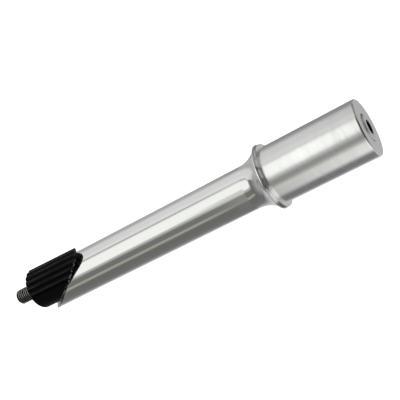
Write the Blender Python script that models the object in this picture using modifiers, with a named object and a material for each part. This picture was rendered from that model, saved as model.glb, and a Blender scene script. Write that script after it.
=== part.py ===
"""Quill stem adaptor, 22.2 mm quill to 28.6 mm threadless clamp.

One machined aluminium body (clamp section, collar, quill), a long M8 socket
bolt with its washer, and a ribbed wedge nut that rides on the slanted lower
end of the quill.  Metres, +Z along the quill towards the clamp section, the
origin on the quill's axis at the collar's underside, +X the way the wedge
moves out when the bolt is tightened.
"""
import math

import bmesh
import bpy
from mathutils import Matrix

MM = 0.001

# ---- driving dimensions, in millimetres ------------------------------------
QUILL_R = 11.1            # 22.2 mm quill, for a 1 inch threaded steerer
CLAMP_R = 14.3            # 28.6 mm clamp section, for a 1 1/8 inch stem
COLLAR_R = 16.6           # stop collar that rests on the headset's top nut
COLLAR_TOP = 2.0
CLAMP_TOP = 51.2
CLAMP_CHAMFER = 0.5
FLARE_R = 16.0            # concave run from the quill into the collar
FLARE_START = -11.8
FLARE_END_R = 16.0
CUT_SLOPE = 54.0          # degrees between the slanted end and a square cut
CUT_MID = -129.3          # where the slanted end crosses the axis
RELIEF_SLOPE = 65.0       # steeper relief at the slanted end's upper edge
RELIEF_AT = 5.5           # how far from the axis the relief starts
BORE_R = 8.3
BORE_TOP = 37.2
HOLE_R = 4.5              # clearance hole for the bolt under its seat
SEAT_Z = 42.2             # floor of the counterbore
COUNTERBORE_R = 6.9
GAP = 0.3                 # kept between pieces that touch on the real object

TILT = 1.25               # degrees the bolt leans about its seat at rest

WASHER_R = 6.5
WASHER_BORE_R = 4.3
WASHER_T = 1.0

BOLT_R = 4.0              # M8
BOLT_LENGTH = 201.0       # under the head
BOLT_TIP_CHAMFER = 0.8
HEAD_R = 6.5
HEAD_H = 8.0
HEAD_CHAMFER = 0.5
SOCKET_FLATS = 6.0
SOCKET_DEPTH = 4.8
SOCKET_TURN = 15.7        # degrees from +X to a corner of the hexagon

WEDGE_R = 11.0
WEDGE_BORE_R = 4.3
WEDGE_END = 185.9         # below the seat, along the bolt
FACE_GAP = 0.55           # between the wedge's face and the quill's end, along Z
RISE_SLOPE = 57.1         # the face rises steeper beyond RISE_AT, clear of the quill
RISE_AT = 1.5
WEDGE_CHAMFER = 0.3
RIB_COUNT = 7
RIB_PITCH = 17.6          # degrees
RIB_DEPTH = 0.75

# the wedge's slanted face lies parallel to the quill's end at rest, so in the
# leaning frame it is less steep by the lean
WEDGE_SLOPE = CUT_SLOPE - TILT
_drop = CUT_MID - FACE_GAP - SEAT_Z
WEDGE_FACE_MID = -(_drop * math.cos(math.radians(TILT))
                   - math.tan(math.radians(WEDGE_SLOPE))
                   * _drop * math.sin(math.radians(TILT)))

ROUND_STEPS = 64


# ---- scene -----------------------------------------------------------------
for ob in list(bpy.data.objects):
    bpy.data.objects.remove(ob, do_unlink=True)

PARTS = bpy.data.collections.new("quill_stem_adaptor")
CUTTERS = bpy.data.collections.new("cutters")
bpy.context.scene.collection.children.link(PARTS)
bpy.context.scene.collection.children.link(CUTTERS)


def material(name, colour, metallic, roughness):
    mat = bpy.data.materials.new(name)
    mat.use_nodes = True
    bsdf = mat.node_tree.nodes["Principled BSDF"]
    bsdf.inputs["Base Color"].default_value = (*colour, 1.0)
    bsdf.inputs["Metallic"].default_value = metallic
    bsdf.inputs["Roughness"].default_value = roughness
    return mat


def link(ob, collection, parent=None):
    collection.objects.link(ob)
    if parent is not None:
        ob.parent = parent
    return ob


def as_cutter(ob):
    ob.hide_render = True
    ob.display_type = 'WIRE'
    return ob


def turned(name, profile, collection, parent=None, steps=ROUND_STEPS):
    """A solid of revolution about Z: profile points are (radius, height) in mm,
    from the axis at the top, down the outer side, back to the axis."""
    bm = bmesh.new()
    verts = [bm.verts.new((r * MM, 0.0, z * MM)) for r, z in profile]
    for a, b in zip(verts, verts[1:]):
        bm.edges.new((a, b))
    if profile[0][0] > 0.0:
        bm.edges.new((verts[-1], verts[0]))
    me = bpy.data.meshes.new(name)
    bm.to_mesh(me)
    bm.free()
    ob = link(bpy.data.objects.new(name, me), collection, parent)
    screw = ob.modifiers.new("turn", 'SCREW')
    screw.axis = 'Z'
    screw.steps = steps
    screw.render_steps = steps
    screw.use_merge_vertices = True
    screw.merge_threshold = 0.00001
    screw.use_smooth_shade = True
    return ob


def boolean(ob, cutter, operation='DIFFERENCE'):
    mod = ob.modifiers.new(cutter.name, 'BOOLEAN')
    mod.operation = operation
    mod.solver = 'EXACT'
    mod.object = cutter
    return mod


def slant_block(name, slope, mid_z, above, parent=None):
    """A block with one face on the plane z = mid_z + x * tan(slope); the block
    lies above that plane, or below it."""
    bm = bmesh.new()
    bmesh.ops.create_cube(bm, size=1.0)
    long, deep, wide = 160 * MM, 60 * MM, 60 * MM
    bmesh.ops.scale(bm, vec=(long, wide, deep), verts=bm.verts)
    side = 0.5 if above else -0.5
    bmesh.ops.translate(bm, vec=(0.0, 0.0, side * deep), verts=bm.verts)
    bmesh.ops.rotate(bm, cent=(0, 0, 0), verts=bm.verts,
                     matrix=Matrix.Rotation(-math.radians(slope), 3, 'Y'))
    bmesh.ops.translate(bm, vec=(0.0, 0.0, mid_z * MM), verts=bm.verts)
    me = bpy.data.meshes.new(name)
    bm.to_mesh(me)
    bm.free()
    return as_cutter(link(bpy.data.objects.new(name, me), CUTTERS, parent))


def arc(cx, cz, r, a0, a1, count):
    """Points of an arc in the (radius, height) plane, angles in degrees."""
    return [(cx + r * math.cos(math.radians(a0 + (a1 - a0) * i / count)),
             cz + r * math.sin(math.radians(a0 + (a1 - a0) * i / count)))
            for i in range(count + 1)]


# ---- the leaning axis shared by the washer, the bolt and the wedge ----------
lean = bpy.data.objects.new("bolt_seat_axis", None)
lean.location = (0.0, 0.0, SEAT_Z * MM)
lean.rotation_euler = (0.0, -math.radians(TILT), 0.0)
lean.empty_display_size = 0.02
PARTS.objects.link(lean)

# ---- adaptor body ------------------------------------------------------------
quill_end = CUT_MID - QUILL_R * math.tan(math.radians(CUT_SLOPE)) - 4.0
flare_cx = QUILL_R + FLARE_R
flare_angle = math.degrees(math.acos((flare_cx - FLARE_END_R) / FLARE_R))
flare = arc(flare_cx, FLARE_START, FLARE_R, 180.0 - flare_angle, 180.0, 8)
lip_z = flare[0][1]

outer = [(0.0, CLAMP_TOP),
         (CLAMP_R - CLAMP_CHAMFER, CLAMP_TOP),
         (CLAMP_R, CLAMP_TOP - CLAMP_CHAMFER),
         (CLAMP_R, COLLAR_TOP)]
outer += arc(COLLAR_R - 0.3, COLLAR_TOP - 0.3, 0.3, 90.0, 0.0, 2)
outer += arc(COLLAR_R - 0.45, lip_z + 0.45, 0.45, 0.0, -90.0, 4)
outer += flare
outer += [(QUILL_R, quill_end), (0.0, quill_end)]
body = turned("adaptor_body", outer, PARTS)

bore = [(0.0, CLAMP_TOP + 5.0),
        (COUNTERBORE_R, CLAMP_TOP + 5.0),
        (COUNTERBORE_R, SEAT_Z),
        (HOLE_R, SEAT_Z),
        (HOLE_R, BORE_TOP),
        (BORE_R, BORE_TOP - 1.6),
        (BORE_R, quill_end - 5.0),
        (0.0, quill_end - 5.0)]
boolean(body, as_cutter(turned("body_bore_cutter", bore, CUTTERS)))
boolean(body, slant_block("quill_slant_cutter", CUT_SLOPE, CUT_MID, above=False))
boolean(body, slant_block(
    "quill_relief_cutter", RELIEF_SLOPE,
    CUT_MID + RELIEF_AT * (math.tan(math.radians(CUT_SLOPE))
                           - math.tan(math.radians(RELIEF_SLOPE))),
    above=False))
body.data.materials.append(
    material("polished_aluminium", (0.78, 0.78, 0.77), 1.0, 0.12))

# ---- washer under the bolt's head ----------------------------------------------
washer = turned("head_washer",
                [(WASHER_BORE_R, GAP + WASHER_T), (WASHER_R, GAP + WASHER_T),
                 (WASHER_R, GAP), (WASHER_BORE_R, GAP)],
                PARTS, lean, steps=48)
washer.data.materials.append(
    material("washer_steel", (0.55, 0.55, 0.54), 1.0, 0.35))

# ---- expander bolt ---------------------------------------------------------------
head_base = GAP + WASHER_T + GAP
bolt_tip = head_base - BOLT_LENGTH
bolt = turned("expander_bolt",
              [(0.0, head_base + HEAD_H),
               (HEAD_R - HEAD_CHAMFER, head_base + HEAD_H),
               (HEAD_R, head_base + HEAD_H - HEAD_CHAMFER),
               (HEAD_R, head_base),
               (BOLT_R, head_base),
               (BOLT_R, bolt_tip + BOLT_TIP_CHAMFER),
               (BOLT_R - BOLT_TIP_CHAMFER, bolt_tip),
               (0.0, bolt_tip)],
              PARTS, lean, steps=48)

bm = bmesh.new()
bmesh.ops.create_cone(bm, cap_ends=True, cap_tris=False, segments=6,
                      radius1=SOCKET_FLATS / math.sqrt(3.0) * MM,
                      radius2=SOCKET_FLATS / math.sqrt(3.0) * MM,
                      depth=2.0 * SOCKET_DEPTH * MM)
first = min(bm.verts, key=lambda v: abs(math.atan2(v.co.y, v.co.x)))
bmesh.ops.rotate(bm, cent=(0, 0, 0), verts=bm.verts,
                 matrix=Matrix.Rotation(math.radians(SOCKET_TURN)
                                        - math.atan2(first.co.y, first.co.x),
                                        3, 'Z'))
bmesh.ops.translate(bm, vec=(0.0, 0.0, (head_base + HEAD_H) * MM), verts=bm.verts)
me = bpy.data.meshes.new("socket_cutter")
bm.to_mesh(me)
bm.free()
socket = as_cutter(link(bpy.data.objects.new("socket_cutter", me), CUTTERS, lean))
boolean(bolt, socket)
bolt.data.materials.append(
    material("bolt_steel", (0.10, 0.10, 0.11), 1.0, 0.35))

# ---- expander wedge ----------------------------------------------------------------


def wedge_outline():
    """The wedge's cross-section: lengthwise ribs on the side that bites into
    the steerer, smooth on the other side."""
    points = []
    per_rib = 6
    half = RIB_COUNT * RIB_PITCH / 2.0
    for i in range(RIB_COUNT * per_rib + 1):
        ang = -half + i * RIB_PITCH / per_rib
        wave = 0.5 - 0.5 * math.cos(2.0 * math.pi * i / per_rib)
        points.append((WEDGE_R - RIB_DEPTH * wave ** 1.5, ang))
    smooth = 32
    for i in range(1, smooth):
        points.append((WEDGE_R, half + (360.0 - 2.0 * half) * i / smooth))
    return [(r * math.cos(math.radians(a)), r * math.sin(math.radians(a)))
            for r, a in points]


outline = wedge_outline()
wedge_high = WEDGE_FACE_MID - WEDGE_R * math.tan(math.radians(WEDGE_SLOPE)) - 4.0
length = WEDGE_END - wedge_high
cu = bpy.data.curves.new("wedge_section", 'CURVE')
cu.dimensions = '2D'
cu.fill_mode = 'BOTH'
cu.extrude = 0.5 * length * MM
spline = cu.splines.new('POLY')
spline.points.add(len(outline) - 1)
for p, (x, y) in zip(spline.points, outline):
    p.co = (x * MM, y * MM, 0.0, 1.0)
spline.use_cyclic_u = True
blank = bpy.data.objects.new("wedge_blank", cu)
PARTS.objects.link(blank)
bpy.context.view_layer.update()
me = bpy.data.meshes.new_from_object(
    blank.evaluated_get(bpy.context.evaluated_depsgraph_get()))
bpy.data.objects.remove(blank, do_unlink=True)
bm = bmesh.new()
bm.from_mesh(me)
bmesh.ops.remove_doubles(bm, verts=bm.verts, dist=0.00001)
bmesh.ops.translate(bm, vec=(0.0, 0.0, -(WEDGE_END - 0.5 * length) * MM),
                    verts=bm.verts)
bmesh.ops.recalc_face_normals(bm, faces=bm.faces)
bm.to_mesh(me)
bm.free()
me.name = "expander_wedge"
wedge = link(bpy.data.objects.new("expander_wedge", me), PARTS, lean)

envelope = as_cutter(turned(
    "wedge_envelope",
    [(0.0, -wedge_high + 5.0), (WEDGE_R + 1.0, -wedge_high + 5.0),
     (WEDGE_R + 1.0, -WEDGE_END + WEDGE_CHAMFER + 1.0),
     (WEDGE_R - WEDGE_CHAMFER, -WEDGE_END), (0.0, -WEDGE_END)],
    CUTTERS, lean))
boolean(wedge, envelope, 'INTERSECT')
boolean(wedge, as_cutter(turned(
    "wedge_bore_cutter",
    [(0.0, -wedge_high + 5.0), (WEDGE_BORE_R, -wedge_high + 5.0),
     (WEDGE_BORE_R, -WEDGE_END - 5.0), (0.0, -WEDGE_END - 5.0)],
    CUTTERS, lean, steps=40)))
above_face = slant_block("wedge_slant_cutter", WEDGE_SLOPE, -WEDGE_FACE_MID,
                         above=True, parent=lean)
above_rise = slant_block(
    "wedge_rise_cutter", RISE_SLOPE,
    -WEDGE_FACE_MID + RISE_AT * (math.tan(math.radians(WEDGE_SLOPE))
                                 - math.tan(math.radians(RISE_SLOPE))),
    above=True, parent=lean)
boolean(above_face, above_rise, 'INTERSECT')
boolean(wedge, above_face)
wedge.data.materials.append(
    material("wedge_black", (0.02, 0.02, 0.021), 0.6, 0.45))

# ---- shading ------------------------------------------------------------------------
for ob in (body, washer, bolt, wedge):
    ob.data.shade_smooth()
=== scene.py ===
"""Looks for the quill stem adaptor: fine meshes, materials, studio and camera."""
import math

import bmesh
import bpy
from mathutils import Matrix, Vector


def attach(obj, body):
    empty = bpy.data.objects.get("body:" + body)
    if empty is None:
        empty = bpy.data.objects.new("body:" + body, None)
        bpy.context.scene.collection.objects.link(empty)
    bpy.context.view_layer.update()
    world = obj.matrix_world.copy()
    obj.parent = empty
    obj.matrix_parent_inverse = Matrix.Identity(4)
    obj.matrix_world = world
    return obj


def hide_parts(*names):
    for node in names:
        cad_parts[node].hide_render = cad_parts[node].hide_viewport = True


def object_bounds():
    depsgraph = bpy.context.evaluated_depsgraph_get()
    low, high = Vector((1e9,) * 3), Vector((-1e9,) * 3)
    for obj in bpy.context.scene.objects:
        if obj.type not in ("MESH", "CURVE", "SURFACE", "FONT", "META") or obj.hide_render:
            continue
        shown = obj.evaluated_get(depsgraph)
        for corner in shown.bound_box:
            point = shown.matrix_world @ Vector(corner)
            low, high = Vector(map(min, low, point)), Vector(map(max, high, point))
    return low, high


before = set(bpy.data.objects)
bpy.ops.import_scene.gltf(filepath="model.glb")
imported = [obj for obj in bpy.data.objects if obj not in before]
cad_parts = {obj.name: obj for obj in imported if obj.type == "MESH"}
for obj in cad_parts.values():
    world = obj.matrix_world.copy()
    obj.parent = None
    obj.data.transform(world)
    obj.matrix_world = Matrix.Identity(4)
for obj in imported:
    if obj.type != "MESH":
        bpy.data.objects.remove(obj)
cad_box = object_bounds()

MM = 0.001

# ---------------------------------------------------------------- dimensions
# the same dimensions as the CAD, in millimetres
QUILL_R, CLAMP_R, COLLAR_R = 11.1, 14.3, 16.6
COLLAR_TOP, CLAMP_TOP = 2.0, 51.2
FLARE_R, FLARE_START, FLARE_END_R = 16.0, -11.8, 16.0
CUT_SLOPE, CUT_MID = 54.0, -129.3
RELIEF_SLOPE, RELIEF_AT = 65.0, 5.5
BORE_R, BORE_TOP, HOLE_R = 8.3, 37.2, 4.5
SEAT_Z, COUNTERBORE_R = 42.2, 6.9
TILT = 1.25
GAP = 0.3
WASHER_R, WASHER_BORE_R, WASHER_T = 6.5, 4.3, 1.0
BOLT_R, BOLT_LENGTH, PITCH = 4.0, 201.0, 1.25
HEAD_R, HEAD_H = 6.5, 8.0
SOCKET_FLATS, SOCKET_DEPTH, SOCKET_TURN = 6.0, 4.8, 15.7
WEDGE_R, WEDGE_BORE_R = 11.0, 4.08
WEDGE_END, FACE_GAP = 185.9, 0.55
RISE_SLOPE, RISE_AT = 57.1, 1.5
RIB_COUNT, RIB_PITCH, RIB_DEPTH = 7, 17.6, 0.75
WEDGE_SLOPE = CUT_SLOPE - TILT
DROP = CUT_MID - FACE_GAP - SEAT_Z
WEDGE_FACE_MID = -(DROP * math.cos(math.radians(TILT))
                   - math.tan(math.radians(WEDGE_SLOPE))
                   * DROP * math.sin(math.radians(TILT)))

LEAN = Matrix.Translation((0, 0, SEAT_Z * MM)) @ Matrix.Rotation(
    -math.radians(TILT), 4, 'Y')


# ------------------------------------------------------------------- meshing
def ring(r, z, angles):
    """One ring of points in mm. r and z are numbers, or functions of the angle
    (z may also be a function of the angle and the radius)."""
    pts = []
    for a in angles:
        rr = r(a) if callable(r) else r
        zz = z(a, rr) if callable(z) else z
        pts.append((rr * math.cos(a), rr * math.sin(a), zz))
    return pts


def skin(name, rings, slots=None, loop=True, start_cap=None, end_cap=None,
         matrix=None, sharp=32.0, merge=None, attributes=()):
    """Quads between successive rings of equal count. slots[i] is the material
    index of the band between ring i and ring i + 1. loop joins the last ring to
    the first; a cap closes an open end with a fan to its centre point."""
    bm = bmesh.new()
    for name_ in attributes:
        bm.verts.layers.float.new(name_)
    layers = [bm.verts.layers.float[name_] for name_ in attributes]
    rows = []
    for pts in rings:
        row = []
        for p in pts:
            v = bm.verts.new((p[0] * MM, p[1] * MM, p[2] * MM))
            for layer, value in zip(layers, p[3:]):
                v[layer] = value
            row.append(v)
        rows.append(row)
    count = len(rows[0])
    last = len(rows) if loop else len(rows) - 1
    for i in range(last):
        a, b = rows[i], rows[(i + 1) % len(rows)]
        for j in range(count):
            k = (j + 1) % count
            f = bm.faces.new((a[j], b[j], b[k], a[k]))
            f.smooth = True
            if slots:
                f.material_index = slots[i]
    for cap, row, flip in ((start_cap, rows[0], False), (end_cap, rows[-1], True)):
        if cap is None or loop:
            continue
        centre = bm.verts.new((0.0, 0.0, cap * MM))
        for j in range(count):
            k = (j + 1) % count
            vs = (centre, row[k], row[j]) if flip else (centre, row[j], row[k])
            f = bm.faces.new(vs)
            f.smooth = True
            if slots:
                f.material_index = slots[0] if row is rows[0] else slots[-1]
    if merge:
        bmesh.ops.remove_doubles(bm, verts=bm.verts, dist=merge * MM)
    bmesh.ops.recalc_face_normals(bm, faces=bm.faces)
    if matrix is not None:
        bmesh.ops.transform(bm, matrix=matrix, verts=bm.verts)
    me = bpy.data.meshes.new(name)
    bm.to_mesh(me)
    bm.free()
    me.set_sharp_from_angle(angle=math.radians(sharp))
    ob = bpy.data.objects.new(name, me)
    bpy.context.scene.collection.objects.link(ob)
    return ob


def arc(cx, cz, r, a0, a1, count):
    return [(cx + r * math.cos(math.radians(a0 + (a1 - a0) * i / count)),
             cz + r * math.sin(math.radians(a0 + (a1 - a0) * i / count)))
            for i in range(count + 1)]


def turn_angles(count, start=0.0):
    return [start + 2.0 * math.pi * j / count for j in range(count)]


# ------------------------------------------------------------ shader helpers
class Nodes:
    """A short way to wire a node tree."""

    def __init__(self, tree):
        self.tree = tree

    def new(self, kind, **props):
        n = self.tree.nodes.new(kind)
        for k, v in props.items():
            setattr(n, k, v)
        return n

    def wire(self, value, socket):
        if isinstance(value, bpy.types.NodeSocket):
            self.tree.links.new(value, socket)
        else:
            socket.default_value = value
        return socket

    def math(self, op, a, b=0.0, c=None, clamp=False):
        n = self.new('ShaderNodeMath', operation=op, use_clamp=clamp)
        self.wire(a, n.inputs[0])
        self.wire(b, n.inputs[1])
        if c is not None:
            self.wire(c, n.inputs[2])
        return n.outputs[0]

    def step(self, value, low, high, smooth=True):
        """0 below low, 1 above high."""
        n = self.new('ShaderNodeMapRange', clamp=True)
        n.interpolation_type = 'SMOOTHSTEP' if smooth else 'LINEAR'
        self.wire(value, n.inputs['Value'])
        n.inputs['From Min'].default_value = low
        n.inputs['From Max'].default_value = high
        return n.outputs['Result']

    def between(self, value, low, high, soft_low, soft_high):
        """1 from low to high, falling off over the soft widths outside."""
        up = self.step(value, low - soft_low, low)
        down = self.step(value, high, high + soft_high)
        return self.math('MULTIPLY', up, self.math('SUBTRACT', 1.0, down))

    def map(self, value, a, b, c, d):
        n = self.new('ShaderNodeMapRange', clamp=True)
        self.wire(value, n.inputs['Value'])
        n.inputs['From Min'].default_value = a
        n.inputs['From Max'].default_value = b
        n.inputs['To Min'].default_value = c
        n.inputs['To Max'].default_value = d
        return n.outputs['Result']

    def mix(self, factor, a, b, kind='RGBA'):
        n = self.new('ShaderNodeMix', data_type=kind)
        names = {'RGBA': (6, 7, 2), 'FLOAT': (2, 3, 0)}[kind]
        self.wire(factor, n.inputs[0])
        self.wire(a, n.inputs[names[0]])
        self.wire(b, n.inputs[names[1]])
        return n.outputs[names[2]]

    def noise(self, vector, scale, detail=3.0, rough=0.5):
        n = self.new('ShaderNodeTexNoise')
        self.wire(vector, n.inputs['Vector'])
        n.inputs['Scale'].default_value = scale
        n.inputs['Detail'].default_value = detail
        n.inputs['Roughness'].default_value = rough
        return n.outputs['Fac']

    def stretch(self, vector, scale):
        n = self.new('ShaderNodeMapping')
        self.wire(vector, n.inputs['Vector'])
        n.inputs['Scale'].default_value = scale
        return n.outputs['Vector']

    def combine(self, x, y, z):
        n = self.new('ShaderNodeCombineXYZ')
        for v, s in zip((x, y, z), n.inputs):
            self.wire(v, s)
        return n.outputs[0]

    def bump(self, height, strength, distance, normal=None):
        n = self.new('ShaderNodeBump')
        n.inputs['Strength'].default_value = strength
        n.inputs['Distance'].default_value = distance
        self.wire(height, n.inputs['Height'])
        if normal is not None:
            self.wire(normal, n.inputs['Normal'])
        return n.outputs['Normal']


def surface(name, metallic, fixed=None):
    mat = bpy.data.materials.new(name)
    mat.use_nodes = True
    n = Nodes(mat.node_tree)
    bsdf = mat.node_tree.nodes["Principled BSDF"]
    bsdf.inputs["Metallic"].default_value = metallic
    for key, value in (fixed or {}).items():
        bsdf.inputs[key].default_value = value
    coord = n.new('ShaderNodeTexCoord').outputs['Object']
    sep = n.new('ShaderNodeSeparateXYZ')
    n.wire(coord, sep.inputs[0])
    x, y, z = sep.outputs
    radius = n.math('SQRT', n.math('ADD', n.math('MULTIPLY', x, x),
                                   n.math('MULTIPLY', y, y)))
    angle = n.math('ARCTAN2', y, x)
    return mat, n, bsdf, coord, (x, y, z), radius, angle


# ----------------------------------------------------------------- materials
def polished_aluminium():
    """Mirror-polished aluminium with faint lengthwise buffing."""
    mat, n, bsdf, coord, (x, y, z), radius, angle = surface(
        "polished_aluminium", 1.0)
    around = n.combine(n.math('COSINE', angle), n.math('SINE', angle),
                       n.math('MULTIPLY', z, 6.0))
    haze = n.noise(n.stretch(coord, (60, 60, 18)), 1.0, 4.0, 0.55)
    lines = n.noise(n.stretch(around, (95, 95, 1.0)), 1.0, 2.0, 0.6)
    spots = n.noise(coord, 900.0, 2.0, 0.5)
    tone = n.mix(n.map(haze, 0.3, 0.7, 0.0, 1.0),
                 (0.895, 0.893, 0.885, 1), (0.925, 0.925, 0.92, 1))
    tone = n.mix(n.map(spots, 0.66, 0.76, 0.0, 0.25), tone, (0.84, 0.84, 0.83, 1))
    n.wire(tone, bsdf.inputs["Base Color"])
    rough = n.math('ADD', n.map(haze, 0.3, 0.75, 0.045, 0.085),
                   n.map(lines, 0.4, 0.7, 0.0, 0.03))
    n.wire(rough, bsdf.inputs["Roughness"])
    n.wire(n.bump(lines, 0.05, 0.00001,
                  n.bump(haze, 0.04, 0.0001)), bsdf.inputs["Normal"])
    return mat


def turned_aluminium():
    """The clamp section: fine turning marks round the axis."""
    mat, n, bsdf, coord, (x, y, z), radius, angle = surface(
        "turned_aluminium", 1.0,
        {"Anisotropic": 0.6, "Anisotropic Rotation": 0.25})
    tangent = n.new('ShaderNodeTangent', direction_type='RADIAL', axis='Z')
    n.wire(tangent.outputs[0], bsdf.inputs["Tangent"])
    around = n.combine(n.math('COSINE', angle), n.math('SINE', angle), 0.0)
    marks = n.combine(n.math('MULTIPLY', n.math('COSINE', angle), 0.7),
                      n.math('MULTIPLY', n.math('SINE', angle), 0.7),
                      n.math('MULTIPLY', z, 5200.0))
    fine = n.noise(marks, 1.0, 4.0, 0.65)
    broad = n.noise(n.stretch(coord, (40, 40, 220)), 1.0, 3.0, 0.55)
    grain = n.noise(coord, 2600.0, 2.0, 0.6)
    tone = n.mix(n.map(fine, 0.3, 0.7, 0.0, 1.0),
                 (0.86, 0.86, 0.855, 1), (0.93, 0.93, 0.925, 1))
    tone = n.mix(n.map(grain, 0.6, 0.8, 0.0, 0.3), tone, (0.78, 0.78, 0.775, 1))
    n.wire(tone, bsdf.inputs["Base Color"])
    rough = n.math('ADD', n.map(broad, 0.3, 0.7, 0.21, 0.27),
                   n.map(grain, 0.3, 0.7, -0.02, 0.03))
    n.wire(rough, bsdf.inputs["Roughness"])
    n.wire(n.bump(fine, 0.12, 0.00003,
                  n.bump(grain, 0.06, 0.00002)), bsdf.inputs["Normal"])
    return mat


def faced_aluminium():
    """Faced ends: rings round the axis on a flat satin face."""
    mat, n, bsdf, coord, (x, y, z), radius, angle = surface(
        "faced_aluminium", 1.0)
    marks = n.combine(n.math('MULTIPLY', radius, 5200.0),
                      n.math('MULTIPLY', n.math('COSINE', angle), 0.6),
                      n.math('MULTIPLY', n.math('SINE', angle), 0.6))
    fine = n.noise(marks, 1.0, 4.0, 0.65)
    grain = n.noise(coord, 1800.0, 3.0, 0.6)
    tone = n.mix(n.map(fine, 0.3, 0.7, 0.0, 1.0),
                 (0.84, 0.84, 0.835, 1), (0.90, 0.90, 0.895, 1))
    n.wire(tone, bsdf.inputs["Base Color"])
    n.wire(n.map(grain, 0.3, 0.7, 0.32, 0.42), bsdf.inputs["Roughness"])
    n.wire(n.bump(fine, 0.1, 0.00002,
                  n.bump(grain, 0.05, 0.00002)), bsdf.inputs["Normal"])
    return mat


def grooved_shaded_aluminium():
    """The collar's cone: fine grooves left by the turning tool, duller, with a base colour
    darkened as painted shade on the band.
    """
    mat, n, bsdf, coord, (x, y, z), radius, angle = surface(
        "grooved_shaded_aluminium", 1.0)
    marks = n.combine(n.math('MULTIPLY', n.math('COSINE', angle), 0.8),
                      n.math('MULTIPLY', n.math('SINE', angle), 0.8),
                      n.math('MULTIPLY', z, 4200.0))
    fine = n.noise(marks, 1.0, 3.0, 0.6)
    grain = n.noise(coord, 1500.0, 3.0, 0.6)
    # painted shade: the base colour is darker than on the other aluminium, to darken the
    # collar's band
    n.wire(n.mix(n.map(fine, 0.35, 0.65, 0.0, 1.0),
                 (0.50, 0.50, 0.495, 1), (0.72, 0.72, 0.71, 1)),
           bsdf.inputs["Base Color"])
    n.wire(n.map(grain, 0.3, 0.7, 0.07, 0.13), bsdf.inputs["Roughness"])
    n.wire(n.bump(fine, 0.08, 0.00002), bsdf.inputs["Normal"])
    return mat


def bored_aluminium():
    """The inside of the quill: drilled, duller and streaked, with a darker base colour as
    painted shade inside the bore.
    """
    mat, n, bsdf, coord, (x, y, z), radius, angle = surface(
        "bored_aluminium", 1.0)
    marks = n.combine(n.math('COSINE', angle), n.math('SINE', angle),
                      n.math('MULTIPLY', z, 900.0))
    fine = n.noise(marks, 1.0, 3.0, 0.6)
    # painted shade: the base colour is darker than the outside aluminium, to darken the
    # inside of the bore
    n.wire(n.mix(fine, (0.40, 0.40, 0.39, 1), (0.58, 0.58, 0.57, 1)),
           bsdf.inputs["Base Color"])
    n.wire(n.map(fine, 0.3, 0.7, 0.4, 0.55), bsdf.inputs["Roughness"])
    n.wire(n.bump(fine, 0.2, 0.00005), bsdf.inputs["Normal"])
    return mat


def plated_steel():
    """The bolt's head: bright zinc plate."""
    mat, n, bsdf, coord, (x, y, z), radius, angle = surface("plated_steel", 1.0)
    grain = n.noise(coord, 1500.0, 4.0, 0.6)
    cloud = n.noise(coord, 260.0, 3.0, 0.5)
    n.wire(n.mix(cloud, (0.74, 0.745, 0.74, 1), (0.82, 0.825, 0.82, 1)),
           bsdf.inputs["Base Color"])
    n.wire(n.map(grain, 0.3, 0.7, 0.26, 0.38), bsdf.inputs["Roughness"])
    n.wire(n.bump(grain, 0.08, 0.00003), bsdf.inputs["Normal"])
    return mat


def dark_steel_and_painted_light():
    """The bolt's thread and socket: dark oiled steel on the thread, with a painted
    highlight lightening the crests; in the socket the dark colour is painted shade.
    """
    mat, n, bsdf, coord, (x, y, z), radius, angle = surface("dark_steel_and_painted_light", 1.0)
    crest = n.new('ShaderNodeAttribute', attribute_name="crest").outputs['Fac']
    grain = n.noise(coord, 1400.0, 4.0, 0.6)
    cloud = n.noise(coord, 300.0, 3.0, 0.5)
    dark = n.mix(cloud, (0.004, 0.005, 0.0048, 1), (0.014, 0.016, 0.015, 1))
    # painted highlight: the thread crests get a light base colour where light catches them
    lightened = n.math('MULTIPLY', n.step(crest, 0.70, 1.0),
                  n.map(grain, 0.35, 0.6, 0.6, 1.0))
    n.wire(n.mix(lightened, dark, (0.88, 0.90, 0.88, 1)), bsdf.inputs["Base Color"])
    n.wire(n.map(grain, 0.3, 0.7, 0.24, 0.40), bsdf.inputs["Roughness"])
    n.wire(n.bump(grain, 0.15, 0.00004), bsdf.inputs["Normal"])
    return mat


def washer_steel():
    mat, n, bsdf, coord, (x, y, z), radius, angle = surface("washer_steel", 1.0)
    grain = n.noise(coord, 1600.0, 4.0, 0.6)
    n.wire(n.mix(grain, (0.50, 0.50, 0.49, 1), (0.66, 0.66, 0.65, 1)),
           bsdf.inputs["Base Color"])
    n.wire(n.map(grain, 0.3, 0.7, 0.28, 0.42), bsdf.inputs["Roughness"])
    n.wire(n.bump(grain, 0.12, 0.00004), bsdf.inputs["Normal"])
    return mat


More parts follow.
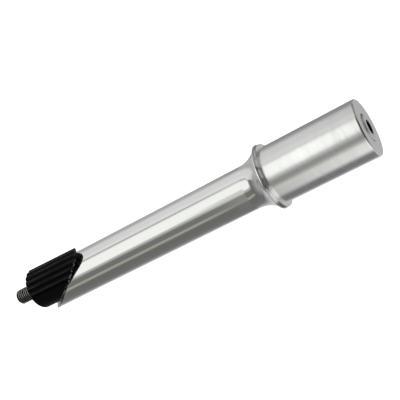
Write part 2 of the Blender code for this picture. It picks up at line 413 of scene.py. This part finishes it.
def wedge_black():
    """Black coated casting: satin, with bare specks along the slanted edge and painted
    highlight lines along the rib tops.
    """
    mat, n, bsdf, coord, (x, y, z), radius, angle = surface(
        "wedge_black", 0.0, {"Specular IOR Level": 0.05})
    edge = n.new('ShaderNodeAttribute', attribute_name="edge").outputs['Fac']
    grain = n.noise(coord, 1500.0, 4.0, 0.6)
    cloud = n.noise(coord, 240.0, 4.0, 0.55)
    chips = n.noise(coord, 1050.0, 3.0, 0.7)
    black = n.mix(cloud, (0.0010, 0.0010, 0.0011, 1), (0.0030, 0.0030, 0.0028, 1))
    # painted highlight: a lighter line along the top of each rib, where the light catches
    # the crest
    rib_highlight_mask = n.new('ShaderNodeAttribute', attribute_name="rib_highlight_mask").outputs['Fac']
    along = n.noise(n.stretch(coord, (420, 420, 90)), 1.0, 3.0, 0.6)
    painted_rib_highlight = n.math('MULTIPLY', n.math('POWER', rib_highlight_mask, 1.3),
                  n.map(along, 0.35, 0.65, 0.25, 1.0))
    black = n.mix(painted_rib_highlight, black, (0.052, 0.049, 0.045, 1))
    lightened = n.math('MULTIPLY', edge, n.step(chips, 0.52, 0.60))
    n.wire(n.mix(lightened, black, (0.34, 0.34, 0.33, 1)), bsdf.inputs["Base Color"])
    n.wire(n.mix(lightened, n.map(grain, 0.3, 0.7, 0.30, 0.46), 0.4, 'FLOAT'),
           bsdf.inputs["Roughness"])
    n.wire(n.bump(grain, 0.25, 0.00006,
                  n.bump(cloud, 0.15, 0.0002)), bsdf.inputs["Normal"])
    return mat


POLISHED = polished_aluminium()
TURNED = turned_aluminium()
FACED = faced_aluminium()
BORED = bored_aluminium()
GROOVED = grooved_shaded_aluminium()
PLATED = plated_steel()
DARK = dark_steel_and_painted_light()
WASHER = washer_steel()
BLACK = wedge_black()


def dress(ob, *mats):
    for m in mats:
        ob.data.materials.append(m)


# -------------------------------------------------------------- adaptor body
def make_body():
    angles = turn_angles(192)
    cut = math.tan(math.radians(CUT_SLOPE))
    relief = math.tan(math.radians(RELIEF_SLOPE))

    def cut_z(lift=0.0):
        def z(a, r):
            x = r * math.cos(a)
            return CUT_MID + cut * x + max(0.0, x - RELIEF_AT) * (relief - cut) + lift
        return z

    polished, turned_, faced, bored, grooved = 0, 1, 2, 3, 4
    rings, slots = [], []

    def add(points, slot):
        for r, z in points:
            rings.append(ring(r, z, angles))
            slots.append(slot)

    # end face, from the counterbore's broken edge outwards
    add([(COUNTERBORE_R, CLAMP_TOP - 0.18), (COUNTERBORE_R + 0.18, CLAMP_TOP)],
        polished)
    slots[-1] = faced
    add([(COUNTERBORE_R + 0.25, CLAMP_TOP), (9.0, CLAMP_TOP), (11.5, CLAMP_TOP),
         (CLAMP_R - 0.57, CLAMP_TOP)], faced)
    # polished chamfer with a softened lower corner
    add([(CLAMP_R - 0.50, CLAMP_TOP - 0.01), (CLAMP_R - 0.12, CLAMP_TOP - 0.38),
         (CLAMP_R - 0.04, CLAMP_TOP - 0.50), (CLAMP_R - 0.008, CLAMP_TOP - 0.66)],
        polished)
    add([(CLAMP_R, CLAMP_TOP - 0.80)], turned_)
    add([(CLAMP_R, CLAMP_TOP - 1.0 - i * 3.0) for i in range(16)], turned_)
    add([(CLAMP_R, COLLAR_TOP + 0.4), (CLAMP_R, COLLAR_TOP + 0.16)], turned_)
    # small fillet at the clamp section's foot, then the ring a stem rests on
    add(arc(CLAMP_R + 0.12, COLLAR_TOP + 0.12, 0.12, 180.0, 270.0, 4), polished)
    add([(CLAMP_R + 0.15, COLLAR_TOP), (CLAMP_R + 0.3, COLLAR_TOP),
         (COLLAR_R - 0.60, COLLAR_TOP), (COLLAR_R - 0.50, COLLAR_TOP)], polished)
    # collar rim: a cone that widens downwards to a narrow rounded bead
    add(arc(COLLAR_R - 0.42, COLLAR_TOP - 0.08, 0.08, 86.0, 14.0, 4), grooved)
    add([(COLLAR_R - 0.32, 1.75), (COLLAR_R - 0.27, 1.35), (COLLAR_R - 0.20, 0.90),
         (COLLAR_R - 0.13, 0.50), (COLLAR_R - 0.10, 0.40)], grooved)
    add([(COLLAR_R - 0.06, 0.38), (COLLAR_R - 0.01, 0.33)], polished)
    flare_cx = QUILL_R + FLARE_R
    sweep = math.degrees(math.acos((flare_cx - FLARE_END_R) / FLARE_R))
    flare = arc(flare_cx, FLARE_START, FLARE_R, 180.0 - sweep, 180.0, 36)
    lip_z = flare[0][1]
    add(arc(COLLAR_R - 0.34, lip_z + 0.34, 0.32, 20.0, -84.0, 8), polished)
    add(flare, polished)
    # quill, down to the slanted end
    for i in range(1, 31):
        t = i / 30.0
        rings.append(ring(QUILL_R, lambda a, r, t=t: FLARE_START - 0.4
                          + (cut_z(0.5)(a, r) - FLARE_START + 0.4) * t, angles))
        slots.append(polished)
    rings.append(ring(QUILL_R, cut_z(0.32), angles))
    slots.append(polished)
    rings.append(ring(QUILL_R - 0.05, cut_z(0.08), angles))
    slots.append(polished)
    rings.append(ring(QUILL_R - 0.14, cut_z(), angles))
    slots.append(faced)
    rings.append(ring(QUILL_R - 0.20, cut_z(), angles))
    slots.append(faced)
    rings.append(ring(9.4, cut_z(), angles))
    slots.append(faced)
    rings.append(ring(BORE_R + 0.12, cut_z(), angles))
    slots.append(faced)
    rings.append(ring(BORE_R, cut_z(0.25), angles))
    slots.append(bored)
    for i in range(1, 13):
        t = i / 12.0
        rings.append(ring(BORE_R, lambda a, r, t=t: cut_z(0.4)(a, r)
                          + (BORE_TOP - 1.6 - cut_z(0.4)(a, r)) * t, angles))
        slots.append(bored)
    add([(HOLE_R, BORE_TOP), (HOLE_R, SEAT_Z - 0.3), (HOLE_R + 0.3, SEAT_Z),
         (COUNTERBORE_R - 0.3, SEAT_Z), (COUNTERBORE_R - 0.09, SEAT_Z + 0.09),
         (COUNTERBORE_R, SEAT_Z + 0.3), (COUNTERBORE_R, 47.0),
         (COUNTERBORE_R, CLAMP_TOP - 0.6)], bored)
    ob = skin("adaptor_shell", rings, slots, loop=True)
    dress(ob, POLISHED, TURNED, FACED, BORED, GROOVED)
    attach(ob, "adaptor")
    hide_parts("adaptor_body")
    return ob


# ----------------------------------------------------------------------- bolt
def make_bolt():
    count = 96
    angles = turn_angles(count, math.radians(SOCKET_TURN))
    base = GAP + WASHER_T + GAP
    top = base + HEAD_H
    tip = base - BOLT_LENGTH

    def hexagon(extra=0.0):
        def r(a):
            local = (math.degrees(a) - SOCKET_TURN) % 60.0
            return (SOCKET_FLATS / 2 + extra) / math.cos(math.radians(local - 30.0))
        return r

    def knurl(depth):
        def r(a):
            j = round((a - angles[0]) / (2 * math.pi) * count)
            return HEAD_R - (depth if j % 2 else 0.0)
        return r

    plated, dark = 0, 1
    rings, slots = [], []

    def add(points, slot):
        for r, z in points:
            rings.append([p + (0.0,) for p in ring(r, z, angles)])
            slots.append(slot)

    corner = SOCKET_FLATS / math.sqrt(3.0)
    # the socket's walls take the near-black material: painted shade inside the socket
    add([(hexagon(), top - SOCKET_DEPTH), (hexagon(), top - 2.2),
         (hexagon(), top - 0.42)], dark)
    add([(corner + 0.12, top - 0.02), (corner + 0.2, top)], plated)
    add([(5.0, top), (HEAD_R - 0.80, top)], plated)
    add(arc(HEAD_R - 0.66, top - 0.66, 0.66, 86.0, 4.0, 7), plated)
    add([(knurl(0.10), top - 1.0), (knurl(0.12), top - 1.2),
         (knurl(0.12), base + 0.8), (knurl(0.08), base + 0.6)], plated)
    add([(HEAD_R - 0.04, base + 0.35), (HEAD_R - 0.3, base + 0.05),
         (HEAD_R - 0.45, base), (BOLT_R + 0.35, base)], plated)
    add(arc(BOLT_R + 0.3, base - 0.3, 0.3, 90.0, 180.0, 4), dark)
    thread_top = tip + 62.0
    add([(BOLT_R, base - 1.0 - (base - 1.0 - thread_top) * i / 8)
         for i in range(9)], dark)

    # thread, right handed: rows follow the helix, clamped to its two ends
    profile = [(0.0, 0.0), (0.125, 0.0), (0.28, 0.5), (0.43, 0.94), (0.5, 1.0),
               (0.625, 1.0), (0.69, 0.94), (0.845, 0.5)]
    depth = 0.62 * PITCH
    turns = int((thread_top - tip) / PITCH) + 4
    rows = []
    for turn in range(turns):
        for t, d in profile:
            row = []
            for j, a in enumerate(angles):
                z = tip - 1.5 * PITCH + PITCH * (turn + t + j / count)
                zc = min(max(z, tip), thread_top)
                fade = min(1.0, max(0.0, (thread_top - zc) / (1.6 * PITCH)))
                cone = BOLT_R - 0.85 + (zc - tip) * 1.0
                rr = min(BOLT_R - depth * d * fade, max(cone, 0.1))
                if z <= tip:
                    rr = BOLT_R - 0.85
                # crest marks the thread crests for the painted highlight in the dark
                # material
                crest = (1.0 - d) * (1.0 if rr < cone else 0.4)
                row.append((rr * math.cos(a), rr * math.sin(a), zc,
                            crest if z > tip else 0.0))
            rows.append(row)
    # the seam between the last and first column steps by one pitch, so the
    # thread is its own sheet of quads, welded to itself and to the shank
    bm = bmesh.new()
    layer = bm.verts.layers.float.new("crest")

    def put(p):
        v = bm.verts.new((p[0] * MM, p[1] * MM, p[2] * MM))
        v[layer] = p[3]
        return v

    n_prof = len(profile)
    grid = [[put(p) for p in row] for row in rows]
    for i in range(len(grid) - 1):
        for j in range(count):
            if j + 1 < count:
                quad = (grid[i][j], grid[i + 1][j], grid[i + 1][j + 1],
                        grid[i][j + 1])
            elif i + 1 + n_prof < len(grid):
                quad = (grid[i][j], grid[i + 1][j], grid[i + 1 + n_prof][0],
                        grid[i + n_prof][0])
            else:
                continue
            f = bm.faces.new(quad)
            f.smooth = True
            f.material_index = dark
    rows2 = [[put(p) for p in row] for row in rings]
    for i in range(len(rows2) - 1):
        for j in range(count):
            k = (j + 1) % count
            f = bm.faces.new((rows2[i][j], rows2[i + 1][j], rows2[i + 1][k],
                              rows2[i][k]))
            f.smooth = True
            f.material_index = slots[i]
    # the socket's floor is near-black too: painted shade
    floor = put((0.0, 0.0, top - SOCKET_DEPTH - 0.9, 0.0))
    for j in range(count):
        f = bm.faces.new((floor, rows2[0][j], rows2[0][(j + 1) % count]))
        f.material_index = dark
    bmesh.ops.remove_doubles(bm, verts=bm.verts, dist=0.002 * MM)
    edges = [e for e in bm.edges if len(e.link_faces) == 1]
    end = [e for e in edges if all(v.co.z < (tip + 0.01) * MM for v in e.verts)]
    made = bmesh.ops.contextual_create(bm, geom=end)
    for f in made["faces"]:
        f.material_index = dark
    bmesh.ops.recalc_face_normals(bm, faces=bm.faces)
    bad = [e for e in bm.edges if len(e.link_faces) != 2]
    if bad:
        print("bolt: open or crowded edges", len(bad),
              [tuple(round(c / MM, 2) for c in bad[0].verts[0].co)])
    bmesh.ops.transform(bm, matrix=LEAN, verts=bm.verts)
    me = bpy.data.meshes.new("socket_bolt")
    bm.to_mesh(me)
    bm.free()
    me.set_sharp_from_angle(angle=math.radians(32.0))
    ob = bpy.data.objects.new("socket_bolt", me)
    bpy.context.scene.collection.objects.link(ob)
    dress(ob, PLATED, DARK)
    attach(ob, "bolt")
    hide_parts("expander_bolt")
    return ob


# --------------------------------------------------------------------- washer
def make_washer():
    angles = turn_angles(96)
    lo, hi = GAP, GAP + WASHER_T
    pts = [(WASHER_BORE_R, lo + 0.12), (WASHER_BORE_R, hi - 0.12),
           (WASHER_BORE_R + 0.12, hi), (WASHER_BORE_R + 0.2, hi),
           (WASHER_R - 0.2, hi), (WASHER_R - 0.12, hi), (WASHER_R, hi - 0.12),
           (WASHER_R, lo + 0.12), (WASHER_R - 0.12, lo), (WASHER_R - 0.2, lo),
           (WASHER_BORE_R + 0.2, lo), (WASHER_BORE_R + 0.12, lo)]
    ob = skin("plain_washer", [ring(r, z, angles) for r, z in pts], loop=True,
              matrix=LEAN)
    dress(ob, WASHER)
    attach(ob, "bolt_seat")
    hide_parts("head_washer")
    return ob


# ---------------------------------------------------------------------- wedge
def make_wedge():
    half = RIB_COUNT * RIB_PITCH / 2.0
    per_rib = 24
    samples = []
    for i in range(RIB_COUNT * per_rib):
        u = (i % per_rib) / per_rib * 2.0 - 1.0      # -1 to 1 across one rib
        drop = RIB_DEPTH * (1.0 - math.sqrt(max(0.0, 1.0 - 0.93 * u * u))) / (
            1.0 - math.sqrt(1.0 - 0.93))
        samples.append((math.radians(-half + i * RIB_PITCH / per_rib), drop))
    smooth = 96
    for i in range(smooth):
        ang = half + (360.0 - 2.0 * half) * i / smooth
        samples.append((math.radians(ang), 0.0 if i else RIB_DEPTH))
    angles = [s[0] for s in samples]
    drops = {round(s[0], 9): s[1] for s in samples}
    # 1 along the middle of each rib, 0 elsewhere: the mask for the painted highlight lines
    # on the rib tops
    tops = [max(0.0, 1.0 - abs((i % per_rib) / per_rib * 2.0 - 1.0) / 0.19)
            if i < RIB_COUNT * per_rib else 0.0 for i in range(len(samples))]
    tops[0] = 0.0
    slope = math.tan(math.radians(WEDGE_SLOPE))
    rise = math.tan(math.radians(RISE_SLOPE))

    def rho(inset=0.0):
        return lambda a: WEDGE_R - drops[round(a, 9)] - inset

    def lip(blend, inset=0.0):
        """Radius beside the slanted face, where the ribs run into a plain lip."""
        def r(a):
            deg = (math.degrees(a) + 180.0) % 360.0 - 180.0
            into = min(1.0, max(0.0, (deg + 44.0) / 16.0))
            out = min(1.0, max(0.0, (66.0 - deg) / 16.0))
            plain = WEDGE_R - 0.34 * min(into, out)
            ribbed = WEDGE_R - drops[round(a, 9)]
            return ribbed + (plain - ribbed) * blend - inset
        return r

    def face(a, r, lift=0.0):
        x = r * math.cos(a)
        return -WEDGE_FACE_MID + slope * x + max(0.0, x - RISE_AT) * (rise - slope) + lift

    rings = []

    def add(r, z, wear):
        rings.append([p + (wear, tops[i]) for i, p in
                      enumerate(ring(r, z, angles))])

    add(WEDGE_BORE_R + 0.35, lambda a, r: face(a, r), 0.0)
    add(7.5, lambda a, r: face(a, r), 0.0)
    add(lip(1.0, 0.9), lambda a, r: face(a, r), 0.15)
    add(lip(1.0, 0.22), lambda a, r: face(a, r), 0.8)
    add(lip(1.0, 0.16), lambda a, r: face(a, r), 1.0)
    add(lip(1.0, 0.05), lambda a, r: face(a, r, -0.12), 1.0)
    add(lip(1.0), lambda a, r: face(a, r, -0.34), 1.0)
    add(lip(0.75), lambda a, r: face(a, r, -0.75), 0.8)
    add(lip(0.42), lambda a, r: face(a, r, -1.25), 0.3)
    add(lip(0.14), lambda a, r: face(a, r, -1.8), 0.0)
    add(rho(), lambda a, r: face(a, r, -2.4), 0.0)
    for i in range(1, 15):
        t = i / 15.0
        add(rho(), lambda a, r, t=t: face(a, r, -2.4)
            + (-WEDGE_END + 1.0 - face(a, r, -2.4)) * t, 0.0)
    add(rho(), -WEDGE_END + 0.50, 0.0)
    add(rho(0.03), -WEDGE_END + 0.32, 0.0)
    add(rho(0.24), -WEDGE_END + 0.05, 0.0)
    add(rho(0.34), -WEDGE_END, 0.0)
    add(rho(0.44), -WEDGE_END, 0.0)
    add(7.5, -WEDGE_END, 0.0)
    add(WEDGE_BORE_R + 0.5, -WEDGE_END, 0.0)
    add(WEDGE_BORE_R, -WEDGE_END + 0.5, 0.0)
    for i in range(1, 5):
        t = i / 5.0
        add(WEDGE_BORE_R, lambda a, r, t=t: -WEDGE_END + 0.5
            + (face(a, r, -0.5) + WEDGE_END - 0.5) * t, 0.0)
    add(WEDGE_BORE_R, lambda a, r: face(a, r, -0.4), 0.0)
    ob = skin("ribbed_wedge", rings, loop=True, matrix=LEAN,
              attributes=("edge", "rib_highlight_mask"), sharp=40.0)
    dress(ob, BLACK)
    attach(ob, "wedge")
    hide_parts("expander_wedge")
    return ob


make_body()
make_bolt()
make_washer()
make_wedge()


# --------------------------------------------------------------------- studio
TENT_TURN = 11.3        # degrees between +X and the tent's own zero


def make_world():
    """A grey light tent: walls of different tone round the object, one big
    softbox low on one side, one higher up, and a mid-grey below."""
    world = bpy.data.worlds.new("studio")
    bpy.context.scene.world = world
    world.use_nodes = True
    n = Nodes(world.node_tree)
    world.node_tree.nodes.clear()
    out = n.new('ShaderNodeOutputWorld')
    bg = n.new('ShaderNodeBackground')
    n.wire(bg.outputs[0], out.inputs['Surface'])
    coord = n.new('ShaderNodeTexCoord').outputs['Generated']
    sep = n.new('ShaderNodeSeparateXYZ')
    n.wire(coord, sep.inputs[0])
    az = n.math('MULTIPLY', n.math('ARCTAN2', sep.outputs[1], sep.outputs[0]),
                180.0 / math.pi)
    el = n.math('MULTIPLY', n.math('ARCSINE', sep.outputs[2]), 180.0 / math.pi)
    # azimuth counted from +X, 0 to 360
    turn = n.math('FLOORED_MODULO', n.math('ADD', az, TENT_TURN), 360.0)

    tone = 0.15

    def local(az0, az1):
        """Azimuth from the middle of a panel, so that no panel crosses the seam."""
        mid = 0.5 * (az0 + az1)
        return n.math('SUBTRACT', n.math('FLOORED_MODULO',
                      n.math('ADD', turn, 180.0 - mid), 360.0), 180.0)

    def panel(value, level, az0, az1, soft0, soft1, el0, el1, s_el0, s_el1):
        """Mix a wall of that level over what is there."""
        half = 0.5 * (az1 - az0)
        across = n.between(local(az0, az1), -half, half, soft0, soft1)
        up = n.between(el, el0, el1, s_el0, s_el1)
        return n.mix(n.math('MULTIPLY', across, up), value, level, 'FLOAT')

    def softbox(value, level, az0, az1, el0, el1, power, soft):
        """A panel with rounded corners and a soft edge."""
        u = n.math('ABSOLUTE', n.math('DIVIDE', local(az0, az1), 0.5 * (az1 - az0)))
        v = n.math('ABSOLUTE', n.math('DIVIDE', n.math(
            'SUBTRACT', el, 0.5 * (el0 + el1)), 0.5 * (el1 - el0)))
        d = n.math('POWER', n.math('ADD', n.math('POWER', u, power),
                                   n.math('POWER', v, power)), 1.0 / power)
        inside = n.math('SUBTRACT', 1.0, n.step(d, 1.0 - soft, 1.0 + soft))
        return n.mix(inside, value, level, 'FLOAT')

    tone = panel(tone, 0.40, -182, 0, 2, 24, -95, -68, 1, 24)       # below, left
    tone = panel(tone, 0.36, 0, 178, 24, 2, -95, -82, 1, 26)        # below, right
    tone = panel(tone, 0.22, -80, -44, 16, 12, -2, 40, 6, 20)       # far side, above
    tone = panel(tone, 0.42, -34, 4, 12, 4, -3, 40, 6, 20)
    tone = panel(tone, 0.26, 22, 46, 6, 8, -4, 40, 4, 20)
    tone = panel(tone, 0.44, 154, 245, 20, 20, 6, 45, 12, 25)       # right, above
    tone = panel(tone, 0.175, 60, 112, 6, 8, -40, -18, 20, 6)       # right, low
    tone = panel(tone, 0.17, 158, 178, 8, 8, -40, -22, 20, 6)
    tone = softbox(tone, 0.52, 6, 70, -54, -10, 4.0, 0.25)          # its soft rim
    tone = panel(tone, 0.70, -40, 8, 54, 5, -62, -12, 14, 9)        # left wall
    tone = panel(tone, 0.78, -8, 8, 14, 5, -50, -8, 10, 7)
    tone = panel(tone, 0.45, -125, -84, 20, 24, -62, -25, 14, 9)    # left, behind
    tone = panel(tone, 0.28, -125, -84, 20, 32, -16, 0, 8, 10)
    tone = panel(tone, 0.64, 224, 230, 54, 14, -62, 34, 14, 20)     # behind
    tone = panel(tone, 0.17, 170, 188, 8, 20, -19, -9, 6, 5)
    tone = panel(tone, 0.26, -126, -110, 6, 10, -62, 0, 14, 8)
    tone = panel(tone, 0.50, 234, 262, 20, 30, 18, 60, 12, 20)
    tone = panel(tone, 0.48, 160, 200, 8, 10, -2, 16, 3, 10)
    tone = panel(tone, 0.35, 66, 98, 10, 14, -18, -8, 6, 5)         # gap between
    tone = panel(tone, 0.42, 0.5, 4.5, 3, 3, -44, -24, 8, 6)        # frame's edge
    tone = softbox(tone, 0.97, 11, 59, -52, -4, 4.0, 0.06)          # low softbox
    tone = panel(tone, 0.64, 50, 62, 4, 15, -21, -8, 5, 4)
    tone = softbox(tone, 1.34, 8, 58, -20, -7, 6.0, 0.16)
    tone = panel(tone, 1.00, 107, 134, 20, 26, -13, 30, 9, 10)      # high softbox
    tone = panel(tone, 0.66, 88, 104, 5, 6, -1, 16, 3, 10)
    tone = panel(tone, 0.36, 104, 109, 7, 9, -44, -24, 14, 4)       # a cord between
    tone = panel(tone, 0.03, 0, 116, 16, 16, 60, 80, 8, 4)          # dark overhead edge
    n.wire(tone, bg.inputs['Strength'])
    front = n.between(local(-6, 130), -68, 68, 10, 14)
    warm = n.math('MULTIPLY', n.between(local(98, 118), -10, 10, 12, 8),
                  n.math('SUBTRACT', 1.0, n.step(el, -24.0, -16.0)))
    colour = n.mix(front, (1.0, 1.0, 1.0, 1.0), (0.985, 1.0, 0.965, 1.0))
    n.wire(n.mix(warm, colour, (1.0, 1.0, 0.88, 1.0)), bg.inputs['Color'])
    return world


make_world()


def pale(name, strength, colour=(0.9, 0.9, 0.9, 1.0)):
    mat = bpy.data.materials.new(name)
    mat.use_nodes = True
    n = Nodes(mat.node_tree)
    bsdf = mat.node_tree.nodes["Principled BSDF"]
    coord = n.new('ShaderNodeTexCoord').outputs['Object']
    cloud = n.noise(coord, 1.5, 2.0, 0.5)
    n.wire(n.mix(cloud, colour, (0.93, 0.93, 0.93, 1.0)), bsdf.inputs["Base Color"])
    bsdf.inputs["Roughness"].default_value = 0.9
    bsdf.inputs["Specular IOR Level"].default_value = 0.0
    bsdf.inputs["Emission Color"].default_value = (1, 1, 1, 1)
    bsdf.inputs["Emission Strength"].default_value = strength
    return mat


def make_stage():
    floor_z = cad_box[0][2] - 0.03
    bm = bmesh.new()
    bmesh.ops.create_circle(bm, cap_ends=True, cap_tris=False, radius=9.0,
                            segments=96)
    me = bpy.data.meshes.new("studio_floor")
    bm.to_mesh(me)
    bm.free()
    floor = bpy.data.objects.new("studio_floor", me)
    floor.location = (0, 0, floor_z)
    floor.data.materials.append(pale("floor_white", 0.75))
    bm = bmesh.new()
    bmesh.ops.create_uvsphere(bm, u_segments=64, v_segments=32, radius=9.0)
    bmesh.ops.reverse_faces(bm, faces=bm.faces)
    me = bpy.data.meshes.new("studio_backdrop")
    bm.to_mesh(me)
    bm.free()
    me.shade_smooth()
    dome = bpy.data.objects.new("studio_backdrop", me)
    dome.data.materials.append(pale("backdrop_white", 1.0))
    for ob in (floor, dome):
        bpy.context.scene.collection.objects.link(ob)
        ob.visible_glossy = False
        ob.visible_transmission = False
    dome.visible_diffuse = False
    dome.visible_shadow = False


make_stage()

# soft overhead light for the floor and the black parts
light = bpy.data.lights.new("overhead", 'AREA')
light.shape = 'DISK'
light.size = 2.2
light.energy = 22.0
lamp = bpy.data.objects.new("overhead", light)
lamp.location = (0.2, 0.5, 1.9)
lamp.rotation_euler = (Vector((0, 0, 0)) - Vector(lamp.location)).to_track_quat(
    '-Z', 'Y').to_euler()
lamp.visible_glossy = False
bpy.context.scene.collection.objects.link(lamp)


# --------------------------------------------------------------------- camera
def make_camera():
    """The viewing angle is given in a frame on the quill's axis whose first
    direction is AROUND degrees short of +X."""
    around = math.radians(43.0)
    spin = Matrix.Rotation(-around, 3, 'Z')
    place = spin @ Vector((5.52, 375.23, 126.05)) * MM
    right = spin @ Vector((-0.458688, -0.355553, 0.814363))
    up = spin @ Vector((0.888598, -0.183534, 0.420368))
    back = right.cross(up).normalized()
    cam = bpy.data.cameras.new("camera")
    cam.sensor_width = 36.0
    cam.lens = 75.52
    cam.clip_start = 0.01
    cam.clip_end = 100.0
    cam.dof.use_dof = False
    ob = bpy.data.objects.new("camera", cam)
    rot = Matrix((right, up, back)).transposed().to_4x4()
    ob.matrix_world = Matrix.Translation(place) @ rot
    bpy.context.scene.collection.objects.link(ob)
    bpy.context.scene.camera = ob


make_camera()
bpy.context.scene.view_settings.view_transform = 'Standard'
bpy.context.scene.view_settings.look = 'None'
bpy.context.scene.view_settings.exposure = 0.0
bpy.context.scene.view_settings.gamma = 1.0


def plain(box):
    return [[float(c) for c in corner] for corner in box]
